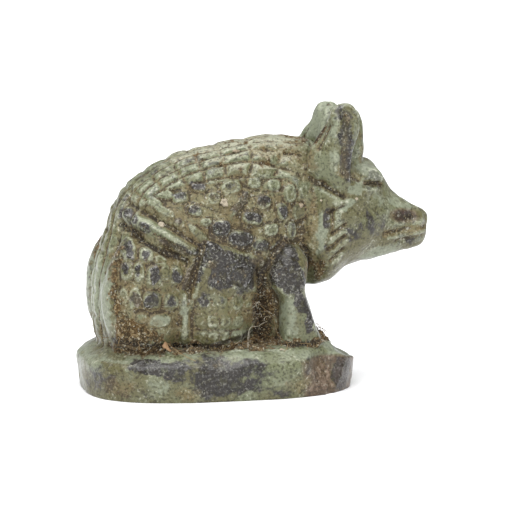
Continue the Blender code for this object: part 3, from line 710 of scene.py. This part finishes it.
class Wire:
    """A socket of a material, so that shader maths reads as sums. A number on either side joins in."""

    def __init__(self, tree, socket=None):
        self.tree = tree
        self.socket = socket

    def node(self, kind, settings=None, sockets=None, out=0):
        return Wire(self.tree, add_node(self.tree, kind, settings, sockets)[out])

    def maths(self, operation, first, second):
        return self.node("ShaderNodeMath", {"operation": operation}, {0: first, 1: second})

    def __add__(self, other):
        return self.maths("ADD", self, other)

    __radd__ = __add__

    def __sub__(self, other):
        return self.maths("SUBTRACT", self, other)

    def __rsub__(self, other):
        return self.maths("SUBTRACT", other, self)

    def __mul__(self, other):
        return self.maths("MULTIPLY", self, other)

    __rmul__ = __mul__

    def __or__(self, other):
        return self.maths("MAXIMUM", self, other)

    def rise(self, low, high, top=1.0):
        """0 below low, top above high, and eased between."""
        ends = {"From Min": low, "From Max": high, "To Max": top}
        return self.node("ShaderNodeMapRange", {"interpolation_type": "SMOOTHSTEP"}, {"Value": self, **ends})

    def story(self, name):
        """What the mesh's attribute of this name says at each place."""
        return self.node("ShaderNodeAttribute", {"attribute_name": name}, out="Fac")

    def over(self, under, colour):
        """The colour laid over another one, with this as its cover."""
        return self.node("ShaderNodeMix", {"data_type": "RGBA"}, {0: self, 6: under, 7: colour}, out=2)

    def speckle(self, size, detail=2.0, roughness=0.5):
        """Noise over this position, with spots of about the given size in metres."""
        sockets = {"Vector": self, "Scale": 0.5 / size, "Detail": detail, "Roughness": roughness}
        return self.node("ShaderNodeTexNoise", None, sockets)


def new_finish(name):
    """A material's principled shader and a wire at the object's own coordinates."""
    material = bpy.data.materials.new(name)
    material.use_nodes = True
    tree = material.node_tree
    place_on_it = Wire(tree).node("ShaderNodeTexCoord", out="Object")
    return material, tree.nodes["Principled BSDF"], place_on_it


def feed(shader, **sockets):
    """Fills the shader's sockets, named with _ for a space."""
    for name, value in sockets.items():
        fill(shader.inputs[name.replace("_", " ")], value)


def stone_finish():
    """Grey-green glaze gone dark in patches with painted glints, pale at its worn edges and partly as painted
    highlight there, with painted top light along the back, brown earth in the cuts and painted shade in the
    creases and gaps.
    """
    material, shader, spot = new_finish("glazed_steatite")
    story = spot.story
    beside = spot.node("ShaderNodeVectorMath", {"operation": "ADD"}, {0: spot, 1: ASIDE})
    cloud = spot.speckle(CLOUD, 3)
    mottle = spot.speckle(MOTTLE, 4, 0.6)
    patches = beside.speckle(PATCHES, 4, 0.6)
    fleck = spot.speckle(FLECK, 3, 0.65)
    grain = spot.speckle(GRAIN, 2, 0.6)
    sparkle = beside.speckle(FINEST, 1, 0.5)
    crown, hollow, cut, earth, clean = [story(name) for name in ("crown", "hollow", "cut", "earth", "pale")]

    # The glaze: grey-green, thin and olive in clouds, bleached along the back and painted lighter there as
    # top light on its upward faces, and pale on every worn edge, partly as a painted highlight
    colour = cloud.rise(0.42, 0.6).over(GLAZE_OLIVE, GLAZE_GREEN)
    colour = (mottle.rise(0.5, 0.64) * 0.5).over(colour, GLAZE_THIN)
    pale = (clean + (mottle - 0.5) * 1.4 + (fleck - 0.5) * 1.3).rise(0.25, 0.85)
    colour = (patches.rise(0.5, 0.66) * 0.35 | pale * 0.9).over(colour, GLAZE_PALE)
    bleach_and_top_light = (story("bleach_and_top_light") + (mottle - 0.5) * 1.6 + (fleck - 0.5)).rise(0.35, 0.85)
    colour = (bleach_and_top_light * 0.75).over(colour, patches.rise(0.45, 0.58).over(BLEACHED_AND_TOPLIT, BLEACHED_AND_TOPLIT_WARM))
    # Pale on every crown: worn glaze, partly a painted highlight along the rims
    rims = (crown * 0.9 + (fleck - 0.5) * 1.2 + (patches - 0.5) * 2.2).rise(0.35, 0.95)
    colour = (rims * 0.55).over(colour, WORN_EDGE_AND_HIGHLIGHT)

    # Where it has turned dark, in patches with ragged edges and some stray spots, speckled with painted
    # glints that are thickest on the crowns
    shade = story("dark") + (mottle - 0.5) * 1.8 + (fleck - 0.5) * 1.7
    stray = (patches.rise(0.58, 0.66) * crown.rise(0.1, 0.6)) * 0.6
    dark = shade.rise(0.36, 0.84) | stray
    blackened = fleck.rise(0.4, 0.62).over(DARK_GLAZE_DEEP, DARK_GLAZE_GREY)
    blackened = (sparkle.rise(0.54, 0.64) * (0.18 + 0.6 * crown)).over(blackened, DARK_GLAZE_PAINTED_GLINT)
    colour = (dark * (0.7 + 0.3 * fleck.rise(0.35, 0.5))).over(colour, blackened)

    # Bare reddish stone on the old break and in the nostril
    bare = fleck.rise(0.42, 0.6).over(BARE_STONE, BARE_STONE_LIGHT)
    colour = (story("broken") * (1 - dark * 0.8) * 0.8).over(colour, bare)

    # Earth rubbed into the cuts, and packed in the corners, with the creases and the earth's hollows darkened
    # further as painted shade
    rubbed = cut * 0.7 + hollow * 0.5 + story("rub") - clean * 0.35
    rubbed = (rubbed + (fleck - 0.5) * 1.2 + (mottle - 0.5) * 0.8).rise(0.22, 0.75)
    rubbed_tone = patches.rise(0.42, 0.6).over(RUBBED_EARTH, RUBBED_OLIVE)
    colour = (rubbed * (1 - dark * 0.45) * 0.66).over(colour, rubbed_tone)
    # Dark earth in every crease, deepened into painted shade
    line = story("crease") * (0.45 + 0.55 * cut) + 0.25 * hollow + (fleck - 0.5) * 0.9
    colour = (line.rise(0.2, 0.8) * 0.75).over(colour, DEEP_EARTH_AND_SHADE)
    packed = (earth + (fleck - 0.5) * 1.9 + (mottle - 0.5) * 1.2).rise(0.36, 0.68)
    soil = fleck.rise(0.4, 0.6).over(DEEP_EARTH_AND_SHADE, EARTH)
    soil = (grain.rise(0.52, 0.66) * 0.7).over(soil, EARTH_LIGHT)
    # The packed earth darker in its hollows, partly as painted shade
    soil = (hollow.rise(0.5, 1) * 0.45).over(soil, DEEP_EARTH_AND_SHADE)
    colour = (packed * 0.9).over(colour, soil)
    # Painted shade, near black, in the gaps at the foot, the deepest cuts, the nostril and between the ears
    gap = (story("gap_shade") + (fleck - 0.5) * 1.1).rise(0.3, 0.8)
    colour = (gap * 0.85).over(colour, GAP_SHADE)

    # Fine dirt and pale grit over everything
    colour = (grain.rise(0.48, 0.36) * (0.66 - pale * 0.3)).over(colour, FINE_DIRT)
    gold = (sparkle.rise(0.56, 0.65) * (0.06 + 0.5 * rubbed + 0.44 * (hollow | packed))) * 0.6
    colour = gold.over(colour, GOLDEN_GRIT)
    salt = 0.12 + 0.35 * patches.rise(0.42, 0.6) + 0.35 * rims
    colour = (grain.rise(0.58, 0.68) * salt * (1 - dark * 0.35)).over(colour, PALE_GRIT)
    crumbs = beside.speckle(CRUMB, 1, 0.5).rise(0.66, 0.72) * (hollow | packed)
    colour = (crumbs * 0.6).over(colour, PALE_GRIT)

    rough = 0.38 + packed * 0.42 + rubbed * 0.2 - dark * 0.1 + (fleck - 0.5) * 0.5
    height = fleck * 0.6 + grain * 0.7 + packed * grain * 1.2 + rims * sparkle * 0.3
    bump = {"Strength": 0.8, "Distance": ROUGH_HEIGHT, "Height": height}
    feed(shader, Base_Color=colour, Roughness=rough, Normal=spot.node("ShaderNodeBump", None, bump))
    feed(shader, Specular_IOR_Level=0.3, Coat_Weight=(1 - (packed | rubbed)) * 0.17, Coat_Roughness=0.28)
    feed(shader, Sheen_Weight=0.14, Sheen_Roughness=0.3, Sheen_Tint=(0.86, 0.93, 1, 1))
    return material


def loose_finish(name, paints, roughness):
    """A finish that differs from one grain or fibre to the next, by its tint."""
    low, high, pale = paints
    material, shader, spot = new_finish(name)
    tint = spot.story("tint")
    colour = tint.rise(0.1, 0.75).over(low, high)
    colour = tint.rise(0.86, 0.93).over(colour, pale)
    fine = spot.speckle(FINEST)
    colour = (fine.rise(0.4, 0.7) * 0.4).over(colour, low)
    feed(shader, Base_Color=colour, Roughness=roughness)
    return material


class Strewing:
    """A Geometry Nodes tree under construction, whose inputs are sizes and a seed."""

    def __init__(self, name, sizes):
        self.tree = bpy.data.node_groups.new(name, "GeometryNodeTree")
        face = self.tree.interface
        face.new_socket("Geometry", in_out="INPUT", socket_type="NodeSocketGeometry")
        for size, value in sizes.items():
            kind = "NodeSocketInt" if isinstance(value, int) else "NodeSocketFloat"
            face.new_socket(size, in_out="INPUT", socket_type=kind)
        face.new_socket("Geometry", in_out="OUTPUT", socket_type="NodeSocketGeometry")
        self.inputs = self.tree.nodes.new("NodeGroupInput").outputs
        self.output = self.tree.nodes.new("NodeGroupOutput").inputs[0]

    def add(self, kind, settings=None, sockets=None):
        return add_node(self.tree, kind, settings, sockets)

    def random(self, low, high, seed):
        """A random value for each point, or a random vector where the ends are vectors."""
        kind, first, out = ("FLOAT_VECTOR", 0, 0) if isinstance(low, tuple) else ("FLOAT", 2, 1)
        ends = {first: low, first + 1: high, "Seed": seed}
        return self.add("FunctionNodeRandomValue", {"data_type": kind}, ends)[out]

    def points(self, density, where):
        """Points over the stone, thicker where one of its attributes is stronger."""
        grit = self.add("GeometryNodeInputNamedAttribute", {"data_type": "FLOAT"}, {"Name": where})
        share = self.add("ShaderNodeMath", {"operation": "MULTIPLY"}, {0: grit[0], 1: density})
        sockets = {"Mesh": self.inputs["Geometry"], "Density": share[0], "Seed": self.inputs["Seed"]}
        return self.add("GeometryNodeDistributePointsOnFaces", None, sockets)

    def finish(self, geometry, material):
        """The whole tree, giving out this geometry in this material."""
        real = self.add("GeometryNodeRealizeInstances", None, {"Geometry": geometry})
        painted = self.add("GeometryNodeSetMaterial", None, {"Geometry": real[0], "Material": material})
        self.tree.links.new(painted[0], self.output)
        return self.tree

    def tinted(self, geometry, seed):
        """Each instance with a random tint of its own."""
        sockets = {"Geometry": geometry, "Name": "tint", "Value": self.random(0.0, 1.0, seed)}
        return self.add("GeometryNodeStoreNamedAttribute", {"domain": "INSTANCE"}, sockets)[0]


FIBRE_THICKNESS = 0.012 * MM
GRIT_SIZES = {"Grains per m2": 9.0e7, "Grain": 0.034 * MM, "Seed": 5}
DUST_SIZES = {"Fibres per m2": 9.0e6, "Reach": 0.5 * MM, "Thickness": FIBRE_THICKNESS, "Seed": 9}
CURL = {"Scale": 2400.0, "Detail": 1.0}
CURL_REACH = 0.45 * MM
ANY_WAY = 6.28


def grit_tree(material):
    """Angular grains pressed into the earth."""
    tree = Strewing("packed_grit", GRIT_SIZES)
    points = tree.points(tree.inputs["Grains per m2"], "grit")
    grain = tree.add("GeometryNodeMeshIcoSphere", None, {"Radius": tree.inputs["Grain"], "Subdivisions": 1})
    turn = tree.random((0, 0, 0), (ANY_WAY, ANY_WAY, ANY_WAY), 2)
    size = tree.random((0.3, 0.4, 0.3), (1.2, 1.9, 1.0), 3)
    sockets = {"Points": points[0], "Instance": grain[0], "Rotation": turn, "Scale": size}
    grains = tree.add("GeometryNodeInstanceOnPoints", None, sockets)
    return tree.finish(tree.tinted(grains[0], 4), material)


def fibre_tree(material):
    """Short bent fibres of dust, lying over the earth and standing out of it."""
    tree = Strewing("dust_fibres", DUST_SIZES)
    points = tree.points(tree.inputs["Fibres per m2"], "dust")
    bow = {"Start": (-1.0, 0.0, 0.0), "Middle": (0.1, 1.1, 0.5), "End": (1.0, 0.1, 0.0), "Resolution": 6}
    bend = tree.add("GeometryNodeCurveQuadraticBezier", None, bow)
    turn = tree.random((0, 0, 0), (0.9, 0.9, ANY_WAY), 2)
    length = tree.random(0.35, 1.0, 3)
    size = tree.add("ShaderNodeMath", {"operation": "MULTIPLY"}, {0: length, 1: tree.inputs["Reach"]})
    sockets = {"Points": points[0], "Instance": bend[0], "Rotation": turn, "Scale": size[0]}
    strands = tree.add("GeometryNodeInstanceOnPoints", None, sockets)
    real = tree.add("GeometryNodeRealizeInstances", None, {"Geometry": tree.tinted(strands[0], 4)})
    place_of = tree.add("GeometryNodeInputPosition")
    curl = tree.add("ShaderNodeTexNoise", None, {"Vector": place_of[0], **CURL})
    middle = {0: curl["Color"], 1: (0.5, 0.5, 0.5)}
    centred = tree.add("ShaderNodeVectorMath", {"operation": "SUBTRACT"}, middle)
    sway = tree.add("ShaderNodeVectorMath", {"operation": "SCALE"}, {0: centred[0], "Scale": CURL_REACH})
    bent = tree.add("GeometryNodeSetPosition", None, {"Geometry": real[0], "Offset": sway[0]})
    round_bar = {"Resolution": 4, "Radius": tree.inputs["Thickness"]}
    section = tree.add("GeometryNodeCurvePrimitiveCircle", None, round_bar)
    thread = tree.add("GeometryNodeCurveToMesh", None, {"Curve": bent[0], "Profile Curve": section[0]})
    return tree.finish(thread[0], material)


def strewn(stone, name, tree, sizes):
    """A plain mesh of what a tree strews over the stone, with the sizes given to its named inputs."""
    holder = placed(name, stone.data)
    scatter = holder.modifiers.new(name, "NODES")
    scatter.node_group = tree
    for socket in tree.interface.items_tree:
        if socket.name in sizes:
            scatter[socket.identifier] = sizes[socket.name]
    mesh = mesh_of(holder)
    mesh.name = name
    return placed(name, mesh)


def on_flank(tree, x, z):
    """The right flank's point at a place along and a height, in metres, and the way its skin faces."""
    hit, out, _, _ = tree.ray_cast(place(x, BESIDE, z), Vector((0, 1, 0)))
    return hit, out


# The longer fibres caught at the foot and over the recess: the way each runs on the right flank, and its tint
STRANDS = (
    ([(8.1, 5.5), (8.1, 11.2), (10.7, 14.9), (14.7, 14.0), (17.7, 14.2), (19.5, 16.0)], 0.99),
    ([(16.4, 23.7), (20, 20), (23.1, 16.4), (24.6, 10.8), (25.6, 8.2), (28.4, 7.1), (37.8, 6.3)], 0.5),
    ([(-31, 12), (-27, 8), (-22, 4), (-17, 1.5)], 0.75),
    ([(11, 12.5), (9.5, 9.5), (12, 7)], 0.95),
)
STRAND_LIFTS = (0.5, 1.4)


def loose_strands(tree, material):
    """The longer fibres, each by turns near the skin and off it."""
    pieces = []
    for k, (route, tint) in enumerate(STRANDS):
        curve = bpy.data.curves.new("loose_strand", "CURVE")
        curve.dimensions = "3D"
        curve.bevel_depth = FIBRE_THICKNESS
        curve.bevel_resolution = 2
        curve.resolution_u = 6
        strand = curve.splines.new("NURBS")
        strand.points.add(len(route) - 1)
        strand.use_endpoint_u = True
        strand.order_u = 3
        for j, (x, z) in enumerate(route):
            hit, out = on_flank(tree, x, z)
            strand.points[j].co = (*(hit + out * STRAND_LIFTS[j % 2] * UNIT), 1)
        mesh = mesh_of(placed("loose_strand", curve))
        mesh.materials.clear()
        mesh.materials.append(material)
        tints = mesh.attributes.new("tint", "FLOAT", "POINT")
        tints.data.foreach_set("value", [tint] * len(mesh.vertices))
        pieces.append(placed(f"loose_strand_{k + 1}", mesh))
    return pieces


# Mineral grains that catch the eye on the right flank: along, height, half length, half height, tilt, tint
PALE_CRUMBS = (
    (-1.2, 71.6, 1.6, 1.8, 30, 0.92), (-29.6, 62.2, 1.3, 1.5, 60, 0.95), (35.9, 67.7, 1.1, 1.2, 10, 0.9),
    (7.7, 92.3, 1.7, 0.8, 0, 0.9), (23.8, 4.9, 1, 0.5, 0, 0.95), (61.5, 70.2, 0.7, 0.6, 0, 0.99),
    (-38, 5.5, 0.7, 0.5, 20, 0.93), (45, 70, 0.5, 0.5, 0, 0.95), (-9, 46, 0.5, 0.5, 0, 0.95),
    (66, 76, 0.5, 0.5, 0, 0.9), (-20, 44, 0.5, 0.4, 0, 0.9), (-47, 38, 0.4, 0.4, 0, 0.9),
)
TAN_CRUMB = [(-29.4, 7.3, 2.3, 1.1, -56, 0.5)]


def loose_crumbs(name, tree, material, crumbs, clear=0.4):
    """Mineral grains, their middles clear of the skin by a share of their smaller half size."""
    block = bmesh.new()
    layer = block.verts.layers.float.new("tint")
    for k, (x, z, length, height, tilt, tint) in enumerate(crumbs):
        hit, out = on_flank(tree, x, z)
        out = (out + Vector((0, -2, 0.8))).normalized()
        along = Vector((math.cos(math.radians(tilt)), 0, math.sin(math.radians(tilt))))
        along = (along - along.dot(out) * out).normalized()
        lie = Matrix((along, out, along.cross(out))).transposed().to_4x4()
        small = min(length, height)
        size = Matrix.Diagonal((length * UNIT, 0.55 * small * UNIT, height * UNIT, 1))
        seat = Matrix.Translation(hit + out * clear * small * UNIT) @ lie @ size
        lump = bmesh.ops.create_icosphere(block, subdivisions=3, radius=1, matrix=seat)["verts"]
        middle = sum((v.co for v in lump), Vector()) / len(lump)
        steps = np.array([v.co - middle for v in lump]) / (length * UNIT)
        swell = 1 + 0.28 * waver(steps, 1.1, 60 + k) + 0.16 * waver(steps, 0.5, 80 + k)
        for v, grow in zip(lump, swell):
            v.co = middle + (v.co - middle) * grow
            v[layer] = tint
    mesh = bpy.data.meshes.new(name)
    block.to_mesh(mesh)
    block.free()
    mesh.materials.append(material)
    return placed(name, mesh)


# The studio: where the view is taken from, and each lamp's azimuth, elevation, spread and power
VIEW_AZIMUTH = -12
VIEW_ELEVATION = 10
VIEW_DISTANCE = 240 * MM
VIEW_WIDTH = 23.38 * MM
VIEW_CENTRE = Vector((2.044, 0.615, 5.815)) * MM
SENSOR_WIDTH = 36
LAMPS = (("key", -40, 66, 60, 2.0), ("top", 120, 76, 60, 0.9), ("front", -5, 18, 50, 0.5))
LAMP_DISTANCE = 450 * MM
ROOM_LIGHT = 0.28
ROOM_COLOUR = (0.97, 0.98, 1, 1)
FLOOR_COLOUR = (0.93, 0.93, 0.94, 1)


def facing(azimuth, elevation):
    """The way from the object to a viewer: azimuth 0 sees the right flank, and 90 the face."""
    a, e = math.radians(azimuth), math.radians(elevation)
    return Vector((math.sin(a) * math.cos(e), -math.cos(a) * math.cos(e), math.sin(e)))


def aimed(name, data, azimuth, elevation, distance):
    """A camera or a lamp, which looks at the middle of the view from a distance."""
    thing = placed(name, data)
    way = facing(azimuth, elevation)
    thing.location = VIEW_CENTRE + way * distance
    thing.rotation_mode = "QUATERNION"
    thing.rotation_quaternion = (-way).to_track_quat("-Z", "Y")
    return thing


def studio():
    """The camera, the lamps, the pale room and its floor."""
    scene = bpy.context.scene
    camera = bpy.data.cameras.new("camera")
    camera.sensor_width = SENSOR_WIDTH
    camera.lens = SENSOR_WIDTH * VIEW_DISTANCE / VIEW_WIDTH
    camera.clip_start = 0.01
    camera.clip_end = 5
    scene.camera = aimed("camera", camera, VIEW_AZIMUTH, VIEW_ELEVATION, VIEW_DISTANCE)
    scene.view_settings.view_transform = "Standard"
    for name, azimuth, elevation, spread, power in LAMPS:
        lamp = bpy.data.lights.new(name, "SUN")
        lamp.angle = math.radians(spread)
        lamp.energy = power * STUDIO_LIGHT
        aimed(name, lamp, azimuth, elevation, LAMP_DISTANCE)
    world = bpy.data.worlds.new("pale_room")
    scene.world = world
    world.use_nodes = True
    sky = world.node_tree.nodes["Background"]
    sky.inputs["Color"].default_value = ROOM_COLOUR
    sky.inputs["Strength"].default_value = ROOM_LIGHT * STUDIO_LIGHT
    bpy.ops.mesh.primitive_plane_add(size=2)
    floor = bpy.context.object
    floor.name = "floor"
    material, shader, _ = new_finish("pale_floor")
    feed(shader, Base_Color=FLOOR_COLOUR, Roughness=0.9)
    floor.data.materials.append(material)


def main():
    stone = make_stone()
    stone.data.materials.clear()
    stone.data.materials.append(stone_finish())
    grit = loose_finish("grit", GRIT_PAINTS, 0.85)
    dust = loose_finish("dust", DUST_PAINTS, 0.8)
    tree = BVHTree.FromObject(stone, bpy.context.evaluated_depsgraph_get())
    pieces = [stone, strewn(stone, "packed_grit", grit_tree(grit), GRIT_SIZES)]
    pieces.append(strewn(stone, "dust_fibres", fibre_tree(dust), DUST_SIZES))
    pieces += loose_strands(tree, dust)
    pieces.append(loose_crumbs("pale_crumbs", tree, grit, PALE_CRUMBS))
    tan = loose_finish("tan_crumb", TAN_PAINTS, 0.6)
    pieces.append(loose_crumbs("tan_crumb", tree, tan, TAN_CRUMB, clear=2.4))
    for piece in pieces:
        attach(piece, "root")
    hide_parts("hedgehog_seal_amulet")
    studio()


main()
